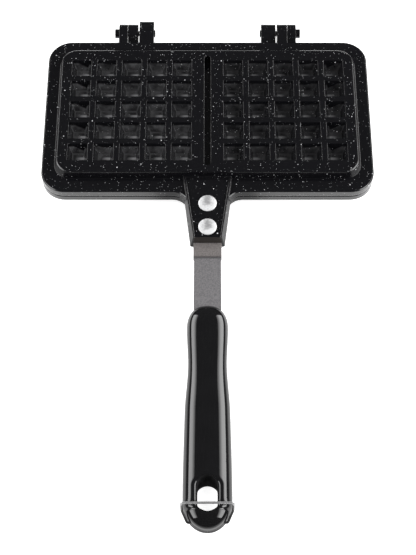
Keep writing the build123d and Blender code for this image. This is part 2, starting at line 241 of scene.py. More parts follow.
# ------------------------------------------------------------------ shader graphs and groups
class Graph:
    """A node tree, with short calls that add nodes and return the sockets of their results."""

    def __init__(self, tree):
        self.tree = tree

    def node(self, kind, **settings):
        node = self.tree.nodes.new(kind)
        for name, value in settings.items():
            setattr(node, name, value)
        return node

    def fill(self, socket, value):
        """Joins a socket to another node's result, or gives it a value."""
        if isinstance(value, bpy.types.NodeSocket):
            self.tree.links.new(value, socket)
        else:
            socket.default_value = value

    def filled(self, node, values):
        for socket, value in zip(node.inputs, values):
            self.fill(socket, value)
        return node.outputs[0]

    def maths(self, operation, *values, clamp=False):
        return self.filled(self.node("ShaderNodeMath", operation=operation, use_clamp=clamp), values)

    def vector_maths(self, operation, *values):
        return self.filled(self.node("ShaderNodeVectorMath", operation=operation), values)

    def chain(self, operation, first, *others):
        for other in others:
            first = self.maths(operation, first, other)
        return first

    def plus(self, *values):
        return self.chain("ADD", *values)

    def times(self, *values):
        return self.chain("MULTIPLY", *values)

    def greatest(self, *values):
        return self.chain("MAXIMUM", *values)

    def minus(self, first, second):
        return self.maths("SUBTRACT", first, second)

    def remainder(self, share):
        """What a share leaves of 1."""
        return self.minus(1.0, share)

    def size(self, value):
        """A value without its sign."""
        return self.maths("ABSOLUTE", value)

    def distance(self, across, along):
        return self.maths("SQRT", self.plus(self.times(across, across), self.times(along, along)))

    def below(self, value, limit):
        """1 where a value is below a limit, else 0."""
        return self.maths("LESS_THAN", value, limit)

    def ramp(self, value, low, high, start=0.0, end=1.0, kind="LINEAR"):
        """Goes from low to high while a value goes from start to end."""
        node = self.node("ShaderNodeMapRange", interpolation_type=kind)
        for socket, number in (
            ("Value", value), ("From Min", start), ("From Max", end), ("To Min", low), ("To Max", high),
        ):
            self.fill(node.inputs[socket], number)
        return node.outputs[0]

    def rise(self, value, start, end, low=0.0, high=1.0):
        """A ramp that starts and ends softly."""
        return self.ramp(value, low, high, start, end, "SMOOTHSTEP")

    def mix(self, factor, first, second, kind="MIX"):
        """Blends two colours, each a socket or its red, green and blue."""
        node = self.node("ShaderNodeMix", data_type="RGBA", blend_type=kind)
        self.fill(node.inputs["Factor"], factor)
        for socket, colour in (("A", first), ("B", second)):
            plain = not isinstance(colour, bpy.types.NodeSocket)
            self.fill(node.inputs[socket], (*colour, 1) if plain else colour)
        return node.outputs["Result"]

    def parts(self, vector):
        """The x, y and z of a vector."""
        node = self.node("ShaderNodeSeparateXYZ")
        self.fill(node.inputs[0], vector)
        return node.outputs


def group(name, inputs, outputs):
    """A new shader node group: its graph, the sockets that it is given and those of its results."""
    tree = bpy.data.node_groups.new(name, "ShaderNodeTree")
    for socket_name, kind, default in inputs:
        socket = tree.interface.new_socket(socket_name, in_out="INPUT", socket_type=kind)
        socket.default_value = default
    for socket_name in outputs:
        tree.interface.new_socket(socket_name, in_out="OUTPUT", socket_type="NodeSocketFloat")
    given = tree.nodes.new("NodeGroupInput")
    return Graph(tree), given.outputs, tree.nodes.new("NodeGroupOutput").inputs


def flecks_group():
    """Round flecks of random size and brightness, scattered in space."""
    graph, given, result = group(
        "Flecks",
        [
            ("Vector", "NodeSocketVector", (0, 0, 0)),
            ("Spacing", "NodeSocketFloat", 0.005),
            ("Size", "NodeSocketFloat", 0.2),
            ("Share", "NodeSocketFloat", 0.5),
        ],
        ["Mask"],
    )
    raggedness = 0.6 * MM
    smallest = 0.35
    edge_sharpness = 18.0
    faintest = 0.25
    ragged = graph.node("ShaderNodeTexNoise")
    ragged.inputs["Scale"].default_value = 900.0
    ragged.inputs["Detail"].default_value = 1.0
    graph.fill(ragged.inputs["Vector"], given["Vector"])
    shifted = graph.vector_maths("MULTIPLY_ADD", ragged.outputs["Color"], (raggedness,) * 3, given["Vector"])
    cells = graph.node("ShaderNodeTexVoronoi", feature="F1")
    graph.fill(cells.inputs["Vector"], shifted)
    graph.fill(cells.inputs["Scale"], graph.maths("DIVIDE", 1.0, given["Spacing"]))
    chance = graph.node("ShaderNodeSeparateColor")
    graph.fill(chance.inputs[0], cells.outputs["Color"])
    presence, width, brightness = chance.outputs
    radius = graph.times(given["Size"], graph.plus(width, smallest))
    inside = graph.minus(radius, cells.outputs["Distance"])
    soft = graph.maths("MULTIPLY", inside, edge_sharpness, clamp=True)
    level = graph.plus(graph.times(brightness, 1 - faintest), faintest)
    graph.fill(result["Mask"], graph.times(soft, graph.below(presence, given["Share"]), level))


def grain_group():
    """Fine unevenness: a value about one half, for bumps, tones and roughness."""
    graph, given, result = group(
        "Grain",
        [("Vector", "NodeSocketVector", (0, 0, 0)), ("Scale", "NodeSocketFloat", 600.0)],
        ["Value"],
    )
    noise = graph.node("ShaderNodeTexNoise")
    noise.inputs["Detail"].default_value = 3.0
    graph.fill(noise.inputs["Vector"], given["Vector"])
    graph.fill(noise.inputs["Scale"], given["Scale"])
    graph.fill(result["Value"], noise.outputs["Fac"])


def pockets_group():
    """Masks of the stud pockets where light is painted: their deep part, their inner corners and a line on
    their floors.
    """
    graph, given, result = group(
        "Pockets", [("Vector", "NodeSocketVector", (0, 0, 0))], ["Deep", "Corners", "Floor"]
    )
    x, y, z = graph.parts(given["Vector"])

    def from_middle(value, first):
        """How far a value lies from the middle of the nearest pocket in its row."""
        # Whole cells are added so that no value is negative
        whole_cells = 50
        cell = graph.maths("DIVIDE", graph.minus(value, first), POCKET_PITCH)
        share = graph.maths("FRACT", graph.plus(cell, whole_cells + 0.5))
        return graph.times(graph.minus(share, 0.5), POCKET_PITCH)

    across = graph.size(x)
    depth = graph.minus(PLATE_TOP - PARTING_Z, graph.size(graph.minus(z, PARTING_Z)))
    lean = graph.times(depth, POCKET_DRAFT)
    cell_x = from_middle(across, POCKET_FIRST)
    cell_y = from_middle(y, PLATE_Y)
    side = graph.plus(graph.size(cell_x), lean)
    end = graph.plus(graph.size(cell_y), lean)
    widest = graph.greatest(side, end)
    edge = POCKET_HALF_WIDTH
    wall_slack = 0.4 * MM
    floor_slack = 0.3 * MM
    field_half = 46.5 * MM
    field_x = POCKET_FIRST + 2 * POCKET_PITCH
    inside = graph.below(widest, edge + wall_slack)
    above_floor = graph.below(depth, POCKET_DEPTH + floor_slack)
    in_field = graph.times(
        graph.below(graph.size(graph.minus(y, PLATE_Y)), field_half),
        graph.below(graph.size(graph.minus(across, field_x)), field_half),
    )
    valid = graph.times(inside, above_floor, in_field)
    # Painted light begins deeper towards the middle of the iron in the outer columns,
    slope = 0.55
    level_until = 3.0 * MM
    outer = graph.rise(across, 60 * MM, 95 * MM)
    slant = graph.times(graph.minus(level_until, cell_x), graph.times(outer, slope))
    deep = graph.rise(graph.minus(depth, graph.greatest(slant, 0.0)), 2.0 * MM, 3.6 * MM)
    # and little of it lies on the side walls
    side_cover = 0.8
    on_side = graph.times(
        graph.rise(side, edge - 0.7 * MM, edge - 0.3 * MM),
        graph.rise(graph.minus(side, end), -0.2 * MM, 0.5 * MM),
    )
    off_side = graph.remainder(graph.times(on_side, side_cover))
    graph.fill(result["Deep"], graph.times(deep, off_side, valid))
    # On the floor a painted highlight runs along a line across its middle
    line_y = 0.1 * MM
    on_floor = graph.rise(depth, POCKET_DEPTH - 0.6 * MM, POCKET_DEPTH - 0.2 * MM)
    line = graph.rise(graph.size(graph.minus(cell_y, line_y)), 1.7 * MM, 0.5 * MM)
    inward = graph.rise(cell_x, 3.5 * MM, -3.0 * MM)
    graph.fill(result["Floor"], graph.times(on_floor, line, inward, valid))
    # Painted highlights in the corners between two walls, and between a wall and the floor
    wall_corner = graph.times(*(graph.rise(wall, edge - 1.5 * MM, edge - 0.4 * MM) for wall in (side, end)))
    floor_edge = graph.times(
        graph.rise(depth, POCKET_DEPTH - 1.4 * MM, POCKET_DEPTH - 0.4 * MM),
        graph.rise(widest, edge - 1.3 * MM, edge - 0.3 * MM),
    )
    low_down = graph.rise(depth, 3.0 * MM, 5.5 * MM)
    graph.fill(result["Corners"], graph.times(graph.greatest(wall_corner, floor_edge), low_down, valid))


# ------------------------------------------------------------------ finishes
class Finish(Graph):
    """A material under construction, with the calls that finishes share."""

    def __init__(self, name):
        self.material = bpy.data.materials.new(name)
        self.material.use_nodes = True
        super().__init__(self.material.node_tree)
        self.shader = self.tree.nodes["Principled BSDF"]
        # The place on the object, in its own metres
        self.spot = self.node("ShaderNodeTexCoord").outputs["Object"]

    def set(self, **values):
        for name, value in values.items():
            self.shader.inputs[name.replace("_", " ")].default_value = value
        return self

    def add_group(self, name, **values):
        """Places a shader group; returns the sockets of its results."""
        node = self.node("ShaderNodeGroup", node_tree=bpy.data.node_groups[name])
        self.fill(node.inputs["Vector"], self.spot)
        for socket, value in values.items():
            self.fill(node.inputs[socket], value)
        return node.outputs

    def grain(self, scale):
        return self.add_group("Grain", Scale=scale)["Value"]

    def feed(self, value, socket):
        self.fill(self.shader.inputs[socket], value)

    def bump(self, height, distance, strength, edge_round=0.0):
        node = self.node("ShaderNodeBump")
        if edge_round:
            rounded = self.node("ShaderNodeBevel", samples=12)
            rounded.inputs["Radius"].default_value = edge_round
            self.fill(node.inputs["Normal"], rounded.outputs[0])
        node.inputs["Distance"].default_value = distance
        node.inputs["Strength"].default_value = strength
        self.fill(node.inputs["Height"], height)
        self.feed(node.outputs[0], "Normal")

    def roughen(self, grain, smoothest, roughest):
        """Roughness between two values, by a grain's usual span."""
        self.feed(self.ramp(grain, smoothest, roughest, 0.3, 0.7), "Roughness")


def scaled(colour, share):
    return tuple(min(1.0, share * channel) for channel in colour)


def coated_casting(coat):
    """Gloss black non-stick coat with bright flecks and fine specks."""
    finish = Finish("coated_casting").set(IOR=1.5)
    x, y, z = finish.parts(finish.spot)
    flecks = finish.add_group("Flecks", Spacing=coat.fleck_spacing, Size=0.125, Share=0.42)["Mask"]
    specks = finish.add_group("Flecks", Spacing=coat.speck_spacing, Size=0.14, Share=0.8)["Mask"]
    speck_strength = 0.62
    shown = finish.greatest(flecks, finish.times(specks, speck_strength))
    # In the pockets light is painted in clouds, with painted highlights in the corners and along a line on
    # the floor
    corner_strength = 0.5
    line_strength = 2.2
    pockets = finish.add_group("Pockets")
    cloud = finish.ramp(finish.grain(160.0), 0.15, 0.65, 0.35, 0.65)
    painted_pocket_light = finish.greatest(
        finish.times(pockets["Deep"], cloud),
        finish.times(pockets["Corners"], corner_strength),
        finish.times(pockets["Floor"], line_strength),
    )
    # The painted light is brighter on the left than on the right
    painted_pocket_light = finish.times(painted_pocket_light, finish.ramp(x, 1.0, 0.42, -30 * MM, 25 * MM))
    tone = finish.vector_maths("MULTIPLY_ADD", painted_pocket_light, coat.pocket_light_colour, coat.base_colour)
    # Painted reflection: the sloped end of the neck is lighter and brown, and shows no flecks
    neck_reflection_length = 3.1 * MM
    neck_reflection_half_width = 9.6 * MM
    neck_end_reflection = finish.times(
        finish.below(y, NECK_END_Y + neck_reflection_length), finish.below(finish.size(x), neck_reflection_half_width)
    )
    tone_with_reflection = finish.mix(neck_end_reflection, tone, (0.024, 0.021, 0.0195))
    flecks_off_reflection = finish.times(shown, finish.remainder(neck_end_reflection))
    finish.feed(finish.mix(flecks_off_reflection, tone_with_reflection, coat.fleck_colour), "Base Color")
    grain = finish.grain(420.0)
    finish.roughen(grain, 0.13, 0.2)
    # The castings meet in a shallow groove
    groove = finish.ramp(finish.size(finish.minus(z, PARTING_Z)), 0.0, 6.0, 0.15 * MM, 0.9 * MM)
    height = finish.plus(finish.times(grain, 0.1), finish.times(shown, 0.08), groove)
    finish.bump(height, 0.12 * MM, 1.0, coat.edge_round)
    return finish.material


def strap_steel(metal):
    """Grey tumbled steel with a fine sparkle."""
    finish = Finish("strap_steel").set(Metallic=0.3, IOR=1.5)
    y = finish.parts(finish.spot)["Y"]
    grain = finish.grain(1000.0)
    dark = scaled(metal.strap_colour, 0.74)
    light = scaled(metal.strap_colour, 1.12)
    even = finish.mix(finish.ramp(grain, 0, 1, 0.36, 0.64), dark, light)
    # Browned by heat up to the shoulder, where a shallow crease crosses it; the crease is darkened with
    # painted shade
    edge = 0.5 * MM
    browned = finish.ramp(y, 0.0, 1.0, SHOULDER_Y - edge, SHOULDER_Y + edge)
    warm = finish.mix(browned, even, (1.02, 0.96, 0.91), "MULTIPLY")
    from_crease = finish.size(finish.minus(y, SHOULDER_Y))
    crease_shade = finish.ramp(from_crease, 1.0, 0.0, 0.4 * MM, 1.6 * MM)
    finish.feed(finish.mix(crease_shade, warm, (0.45, 0.45, 0.46), "MULTIPLY"), "Base Color")
    finish.roughen(grain, 0.42, 0.58)
    finish.bump(grain, 0.05 * MM, 0.4)
    return finish.material


def rivet_aluminium(metal):
    """Bright drawn aluminium, faintly uneven from the rivet set, with painted shade round each dimple."""
    finish = Finish("rivet_aluminium").set(Metallic=0.2, IOR=1.5)
    x, y, _ = finish.parts(finish.spot)
    grain = finish.grain(260.0)
    swirl = finish.grain(700.0)
    # Painted shade: each head is darker round its dimple
    middle = (RIVETS_LOW.y + RIVETS_HIGH.y) / 2
    apart = (RIVETS_HIGH.y - RIVETS_LOW.y) / 2 - RIVET_RADIUS
    along = finish.minus(y, middle)
    along = finish.minus(along, finish.times(finish.maths("SIGN", along), apart))
    # The painted shade runs out towards the hinge
    stretch = 0.35
    along = finish.greatest(finish.times(along, stretch), finish.times(along, -1.0))
    away = finish.distance(along, x)
    uneven = finish.plus(away, finish.ramp(swirl, -1.5 * MM, 1.5 * MM, 0.3, 0.7))
    dimple_shade = finish.ramp(uneven, 1.0, 0.0, 1.0 * MM, 4.4 * MM)
    bright = scaled(metal.rivet_colour, 0.78)
    shaded_colour = scaled(metal.rivet_colour, 0.34)
    finish.feed(finish.mix(dimple_shade, bright, shaded_colour), "Base Color")
    finish.roughen(grain, 0.26, 0.38)
    finish.bump(grain, 0.06 * MM, 0.3)
    return finish.material


def grip_plastic(grip):
    """Polished black phenolic."""
    finish = Finish("grip_plastic").set(IOR=1.52)
    grain = finish.grain(90.0)
    finish.feed(finish.mix(grain, grip.colour, scaled(grip.colour, 1.5)), "Base Color")
    finish.roughen(grain, 0.045, 0.085)
    finish.bump(grain, 0.05 * MM, 0.15)
    return finish.material


def grip_bore():
    """The hanging hole's wall, left matt by the mould's core."""
    finish = Finish("grip_bore").set(IOR=1.1, Specular_IOR_Level=0.05)
    grain = finish.grain(300.0)
    finish.feed(finish.mix(grain, (0.014, 0.014, 0.0145), (0.02, 0.02, 0.0205)), "Base Color")
    finish.roughen(grain, 0.6, 0.8)
    finish.bump(grain, 0.05 * MM, 0.3)
    return finish.material


def plain_steel(name, colour, roughness):
    """Turned steel with a fine grain."""
    finish = Finish(name).set(Metallic=1.0)
    grain = finish.grain(900.0)
    finish.feed(finish.mix(grain, colour, scaled(colour, 1.2)), "Base Color")
    finish.roughen(grain, roughness * 0.8, roughness * 1.2)
    finish.bump(grain, 0.03 * MM, 0.3)
    return finish.material


def bail_wire(metal):
    """Satin steel wire, dark on its arms below the bar."""
    finish = Finish("bail_wire").set(Metallic=0.55)
    grain = finish.grain(900.0)
    bar_bottom = BAIL_HIGH.z - 2 * WIRE_RADIUS
    height = finish.parts(finish.spot)["Z"]
    on_bar = finish.ramp(height, 0.0, 1.0, bar_bottom - 1.2 * MM, bar_bottom + 0.2 * MM)
    finish.feed(finish.mix(on_bar, (0.05, 0.05, 0.05), metal.wire_colour), "Base Color")
    finish.roughen(grain, 0.16, 0.24)
    finish.bump(grain, 0.02 * MM, 0.2)
    return finish.material


# ------------------------------------------------------------------ mesh helpers
def smooth_faces_group():
    """Geometry nodes that shade every face smooth."""
    tree = bpy.data.node_groups.new("SmoothFaces", "GeometryNodeTree")
    for in_out in ("INPUT", "OUTPUT"):
        tree.interface.new_socket("Geometry", in_out=in_out, socket_type="NodeSocketGeometry")
    given = tree.nodes.new("NodeGroupInput")
    smooth = tree.nodes.new("GeometryNodeSetShadeSmooth")
    result = tree.nodes.new("NodeGroupOutput")
    tree.links.new(given.outputs[0], smooth.inputs["Geometry"])
    tree.links.new(smooth.outputs[0], result.inputs[0])


def dress(node, material):
    """Gives a CAD node its material."""
    obj = frame["nodes"][node]
    obj.data.materials.clear()
    obj.data.materials.append(material)
    return obj


def soften_edges(obj, width, segments=2):
    """Rounds a CAD node's sharp edges with modifiers, without touching its mesh."""
    weld = obj.modifiers.new("weld", "WELD")
    weld.merge_threshold = 1e-6
    smooth = obj.modifiers.new("smooth_faces", "NODES")
    smooth.node_group = bpy.data.node_groups["SmoothFaces"]
    bevel = obj.modifiers.new("soft_edges", "BEVEL")
    bevel.width = width
    bevel.segments = segments
    bevel.limit_method = "ANGLE"
    bevel.angle_limit = radians(28)
    bevel.use_clamp_overlap = True
    bevel.harden_normals = False
    bevel.miter_outer = "MITER_ARC"
    normals = obj.modifiers.new("weighted_normals", "WEIGHTED_NORMAL")
    normals.keep_sharp = False


def piece(name, vertices, faces, material):
    """A smooth mesh of its own, with its material."""
    mesh = bpy.data.meshes.new(name)
    mesh.from_pydata(vertices, [], faces)
    mesh.validate()
    mesh.shade_smooth()
    obj = bpy.data.objects.new(name, mesh)
    bpy.context.scene.collection.objects.link(obj)
    mesh.materials.append(material)
    return obj


# ------------------------------------------------------------------ castings
class WAFFLE_OT_castings(bpy.types.Operator):
    """Coat the two plate castings and soften their edges"""

    bl_idname = "waffle.castings"
    bl_label = "Coat Castings"

    def execute(self, context):
        coat = context.scene.waffle_coat
        material = coated_casting(coat)
        for node in ("upper_plate", "lower_plate"):
            soften_edges(dress(node, material), coat.edge_softness)
        return {"FINISHED"}


# ------------------------------------------------------------------ straps, pins and screws
class WAFFLE_OT_steelwork(bpy.types.Operator):
    """Finish the straps, the hinge pins and the grip screws"""

    bl_idname = "waffle.steelwork"
    bl_label = "Finish Steelwork"

    def execute(self, context):
        metal = context.scene.waffle_metal
        strap = strap_steel(metal)
        pin = plain_steel("pin_steel", (0.05, 0.05, 0.055), 0.3)
        screw = plain_steel("screw_steel", (0.5, 0.5, 0.51), 0.3)
        for nodes, material, softness, segments in (
            (("upper_strap", "lower_strap"), strap, 0.35 * MM, 2),
            (("left_hinge_pin", "right_hinge_pin"), pin, 0.4 * MM, 3),
            (("upper_grip_screw", "lower_grip_screw"), screw, 0.25 * MM, 2),
        ):
            for node in nodes:
                soften_edges(dress(node, material), softness, segments)
        return {"FINISHED"}


# ------------------------------------------------------------------ rivets
def rivet_profile(metal, radius, floor, rim_height, low):
    """Radius and height of a rivet, from the middle of its dimple out over the dome and down."""
    dimple_steps = 6
    dome_steps = 12
    dome_power = 1.2
    shank_radius = 0.46 * radius
    dome = metal.dome_height
    rim = floor + rim_height
    points = [(0.0, rim + dome - metal.dimple_depth)]
    for step in range(1, dimple_steps + 1):
        turn = step / dimple_steps
        sunk = metal.dimple_depth * 0.5 * (1 + cos(pi * turn))
        points.append((metal.dimple_radius * turn, rim + dome - sunk))
    for step in range(1, dome_steps + 1):
        turn = step / dome_steps * pi / 2
        reach = metal.dimple_radius + (radius - metal.dimple_radius) * sin(turn)
        points.append((reach, rim + dome * cos(turn) ** dome_power))
    return points + [(radius, floor), (shank_radius, floor), (shank_radius, low), (0.0, low)]


def lathe(points, centre, segments=48, flip=1):
    """Turns a profile about a vertical line through that centre."""
    vertices = []
    faces = []
    rings = []
    for radius, height in points:
        if radius == 0.0:
            vertices.append((centre[0], centre[1], PARTING_Z + flip * height))
            rings.append([len(vertices) - 1])
            continue
        ring = []
        for step in range(segments):
            angle = 2 * pi * step / segments
            place = (centre[0] + radius * cos(angle), centre[1] + radius * sin(angle))
            vertices.append((*place, PARTING_Z + flip * height))
            ring.append(len(vertices) - 1)
        rings.append(ring)
    for inner, outer in zip(rings, rings[1:]):
        for step in range(segments):
            after = (step + 1) % segments
            if len(inner) == 1:
                face = (inner[0], outer[step], outer[after])
            elif len(outer) == 1:
                face = (inner[step], outer[0], inner[after])
            else:
                face = (inner[step], outer[step], outer[after], inner[after])
            faces.append(face if flip > 0 else face[::-1])
    return vertices, faces


class WAFFLE_OT_rivets(bpy.types.Operator):
    """Model the domed and dimpled rivets of both straps"""

    bl_idname = "waffle.rivets"
    bl_label = "Model Rivets"

    def execute(self, context):
        metal = context.scene.waffle_metal
        material = rivet_aluminium(metal)
        head_height = 1.5 * MM
        floor = RIVETS_HIGH.z - PARTING_Z - head_height
        rim = head_height - metal.dome_height
        low = RIVETS_LOW.z - PARTING_Z
        centres = [(0.0, RIVETS_LOW.y + RIVET_RADIUS), (0.0, RIVETS_HIGH.y - RIVET_RADIUS)]
        profile = rivet_profile(metal, RIVET_RADIUS, floor, rim, low)
        for name, flip, body, node in (
            ("upper_rivet_heads", 1, "lid", "upper_rivets"),
            ("lower_rivet_heads", -1, "base", "lower_rivets"),
        ):
            vertices = []
            faces = []
            for centre in centres:
                more, new_faces = lathe(profile, centre, flip=flip)
                faces += [tuple(i + len(vertices) for i in face) for face in new_faces]
                vertices += more
            rivets = piece(name, vertices, faces, material)
            rivets.data.set_sharp_from_angle(angle=radians(50))
            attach(rivets, body)
            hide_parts(node)
        return {"FINISHED"}


# ------------------------------------------------------------------ grips
def hermite(low, high, place):
    """A smooth value between two stations, each (place, value, slope)."""
    span = high[0] - low[0]
    t = (place - low[0]) / span
    return (
        (2 * t**3 - 3 * t**2 + 1) * low[1]
        + (t**3 - 2 * t**2 + t) * span * low[2]
        + (3 * t**2 - 2 * t**3) * high[1]
        + (t**3 - t**2) * span * high[2]
    )


class GripShape:
    """The form of a grip half, by distance from the nose and across from the middle line."""

    section_power = 2.15
    end_power = 2.3
    nose_power = 2.3
    tip_power = 1.95
    mouth_power = 5
    palm_slope = 0.024
    lip_run = 8 * MM

    def __init__(self, grip):
        self.grip = grip
        self.tip_start = GRIP_LENGTH - grip.tip_length
        self.stations = [
            (grip.nose_length, grip.nose_half_width, 0.0),
            (grip.waist_setback, grip.waist_half_width, 0.0),
            (grip.palm_setback, grip.palm_half_width, self.palm_slope),
            (self.tip_start, GRIP_HALF_WIDTH, 0.0),
        ]
        self.flank = GRIP_HALF_WIDTH - GRIP_HEIGHT
        self.bar_place = NOSE_Y - (BAIL_HIGH.y - WIRE_RADIUS)
        self.hole_end = GRIP_LENGTH - grip.hole_setback - grip.hole_half_width
        self.hole_start = GRIP_LENGTH - grip.hole_setback - grip.hole_length + grip.hole_half_width

    def body_half_width(self, place):
        for low, high in zip(self.stations, self.stations[1:]):
            if place <= high[0]:
                return hermite(low, high, max(place, low[0]))
        return self.stations[-1][1]

    def end_share(self, place, power):
        """From 0 at either end to 1 where its rounding is over."""
        if place < self.grip.nose_length:
            gone = (self.grip.nose_length - place) / self.grip.nose_length
        elif place > self.tip_start:
            gone = (place - self.tip_start) / self.grip.tip_length
        else:
            return 1.0
        return max(0.0, 1 - min(gone, 1.0) ** power) ** (1 / power)

    def half_width(self, place):
        power = self.nose_power if place < self.tip_start else self.tip_power
        return self.body_half_width(place) * self.end_share(place, power)

    def height(self, place):
        full = self.body_half_width(place) - self.flank
        return full * self.end_share(place, self.end_power)

    def from_hole(self, across, place):
        """The nearest place on the hole's middle line, and the distance from it."""
        axis = min(max(place, self.hole_start), self.hole_end)
        return axis, sqrt(across**2 + (place - axis) ** 2)

    def mouth(self, across, place):
        """Rounding of the hole's mouth that way from the hole's middle line: tighter at its ends."""
        _, reach = self.from_hole(across, place)
        sideways = across / reach if reach > 0 else 1.0
        tight = self.grip.mouth_end_radius
        return tight + (self.grip.mouth_radius - tight) * abs(sideways) ** self.mouth_power

    def crown(self, across, place):
        """Height of the outside above the parting plane."""
        half_width = self.half_width(place)
        if half_width <= 0:
            return HALF_GAP
        share = min(1.0, abs(across) / half_width)
        lip = HALF_GAP + self.grip.lip_radius
        full = max(self.height(place) - lip, 0.0)
        rise = lip + full * (1 - share**self.section_power) ** (1 / self.section_power)
        groove = min(1.0, abs(place - self.bar_place) / self.grip.groove_half_width)
        rise -= self.grip.groove_depth * 0.5 * (1 + cos(pi * groove))
        radius = self.mouth(across, place)
        away = self.from_hole(across, place)[1] - self.grip.hole_half_width
        if away < radius:
            into = radius - max(away, 0.0)
            rise -= radius - sqrt(max(0.0, radius**2 - into**2))
        return max(lip, rise)

    def under(self, across, place):
        """The same place on the flat side, drawn in by the lip's rounding at the outline."""
        half_width = self.half_width(place)
        lip = self.grip.lip_radius
        if half_width > 0:
            across -= across * min(1.0, lip / half_width) * min(1.0, abs(across) / half_width) ** 2
        place += lip * max(0.0, 1 - place / self.lip_run) ** 2
        place -= lip * max(0.0, 1 - (GRIP_LENGTH - place) / self.lip_run) ** 2
        return across, place

    def point(self, across, place, height):
        return (across, NOSE_Y - place, PARTING_Z + height)


def grip_mesh(shape):
    """Vertices and faces of the closed upper half, its hanging hole with a rounded mouth."""
    across_steps = 40
    nose_steps = 16
    body_steps = 56
    nose_end = shape.grip.nose_length
    hole_surround = 22 * MM
    body_end = shape.hole_start - hole_surround
    places = [nose_end * (1 - cos(step / nose_steps * pi / 2)) for step in range(1, nose_steps + 1)]
    places += [nose_end + (body_end - nose_end) * step / body_steps for step in range(1, body_steps + 1)]
    vertices = []
    lower = []
    faces = []

    def add(across, place):
        vertices.append(shape.point(across, place, shape.crown(across, place)))
        lower.append(shape.point(*shape.under(across, place), HALF_GAP))
        return len(vertices) - 1

    shares = [sin(pi * (step / across_steps - 0.5)) for step in range(across_steps + 1)]
    rows = [[add(share * shape.half_width(place), place) for share in shares] for place in places]
    nose = add(0.0, 0.0)
    for left, right in zip(rows[0], rows[0][1:]):
        faces.append((nose, left, right))
    for near, far in zip(rows, rows[1:]):
        for i in range(across_steps):
            faces.append((near[i], far[i], far[i + 1], near[i + 1]))

    # Around the hole: rays from the hole's middle line to the last row and to the outline
    outline = [(share * shape.half_width(places[-1]), places[-1]) for share in shares]
    side = []
    side_steps = 44
    for step in range(1, side_steps + 1):
        place = places[-1] + (shape.tip_start - places[-1]) * step / side_steps
        side.append((shape.half_width(place), place))
    tip_steps = 38
    for step in range(1, tip_steps):
        place = shape.tip_start + shape.grip.tip_length * sin(step / tip_steps * pi / 2)
        side.append((shape.half_width(place), place))
    loop = outline + side + [(0.0, GRIP_LENGTH)] + [(-a, p) for a, p in reversed(side)]
    mouth_steps = 9
    bore_steps = 3
    land_steps = 14
    spokes = []
    for index, (across, place) in enumerate(loop):
        axis, reach = shape.from_hole(across, place)
        direction = (across / reach, (place - axis) / reach)
        inner = shape.grip.hole_half_width
        radii = [
            inner + shape.mouth(across, place) * (1 - cos(step / mouth_steps * pi / 2))
            for step in range(mouth_steps + 1)
        ]
        start = radii[-1]
        for step in range(1, land_steps + 1):
            radii.append(start + (reach - start) * sin(step / land_steps * pi / 2))
        spoke = [add(direction[0] * r, axis + direction[1] * r) for r in radii]
        if index < len(outline):
            spoke[-1] = rows[-1][index]
        spokes.append(spoke)
    inner_mouth = []
    for spoke, following in zip(spokes, spokes[1:] + spokes[:1]):
        for i in range(len(spoke) - 1):
            face = (spoke[i], following[i], following[i + 1], spoke[i + 1])
            (inner_mouth if i < bore_steps else faces).append(face)

    count = len(vertices)
    everything = vertices + lower
    below = [tuple(i + count for i in reversed(face)) for face in faces + inner_mouth]
    walls = inner_mouth[:]
    for spoke, following in zip(spokes, spokes[1:] + spokes[:1]):
        walls.append((following[0], spoke[0], spoke[0] + count, following[0] + count))
    # The rounded lip between the two sides, all round the outline
    rim = [nose] + [row[-1] for row in rows] + [spoke[-1] for spoke in spokes[len(outline):]]
    rim += [row[0] for row in reversed(rows)]
    rings = [rim]
    lip_steps = 4
    for step in range(1, lip_steps):
        turn = step / lip_steps * pi / 2
        ring = []
        for index in rim:
            top = Vector(vertices[index])
            foot = Vector(lower[index])
            place = top.lerp(foot, 1 - cos(turn))
            place.z = foot.z + (top.z - foot.z) * (1 - sin(turn))
            everything.append(tuple(place))
            ring.append(len(everything) - 1)
        rings.append(ring)
    rings.append([index + count for index in rim])
    lips = []
    for upper, under in zip(rings, rings[1:]):
        for i in range(len(rim)):
            j = (i + 1) % len(rim)
            lips.append((upper[i], under[i], under[j], upper[j]))
    return everything, faces + below + lips, walls


def cut_channel(obj, half_width, top, nose_reach, end_place):
    """Cuts the strap's channel into the flat side of a grip half."""
    cutter_mesh = bpy.data.meshes.new("channel_cutter")
    build = bmesh.new()
    bmesh.ops.create_cube(build, size=1.0)
    front = NOSE_Y + nose_reach
    back = NOSE_Y - end_place
    below_parting = 5 * MM
    low = PARTING_Z - below_parting
    high = PARTING_Z + top
    bmesh.ops.scale(build, vec=(2 * half_width, front - back, high - low), verts=build.verts)
    bmesh.ops.translate(build, vec=(0, (front + back) / 2, (high + low) / 2), verts=build.verts)
    build.to_mesh(cutter_mesh)
    build.free()
    cutter = bpy.data.objects.new("channel_cutter", cutter_mesh)
    bpy.context.scene.collection.objects.link(cutter)
    cut = obj.modifiers.new("channel", "BOOLEAN")
    cut.operation = "DIFFERENCE"
    cut.solver = "EXACT"
    cut.object = cutter
    bpy.context.view_layer.update()
    evaluated = obj.evaluated_get(bpy.context.evaluated_depsgraph_get())
    mesh = bpy.data.meshes.new_from_object(evaluated)
    obj.modifiers.clear()
    obj.data = mesh
    bpy.data.objects.remove(cutter)


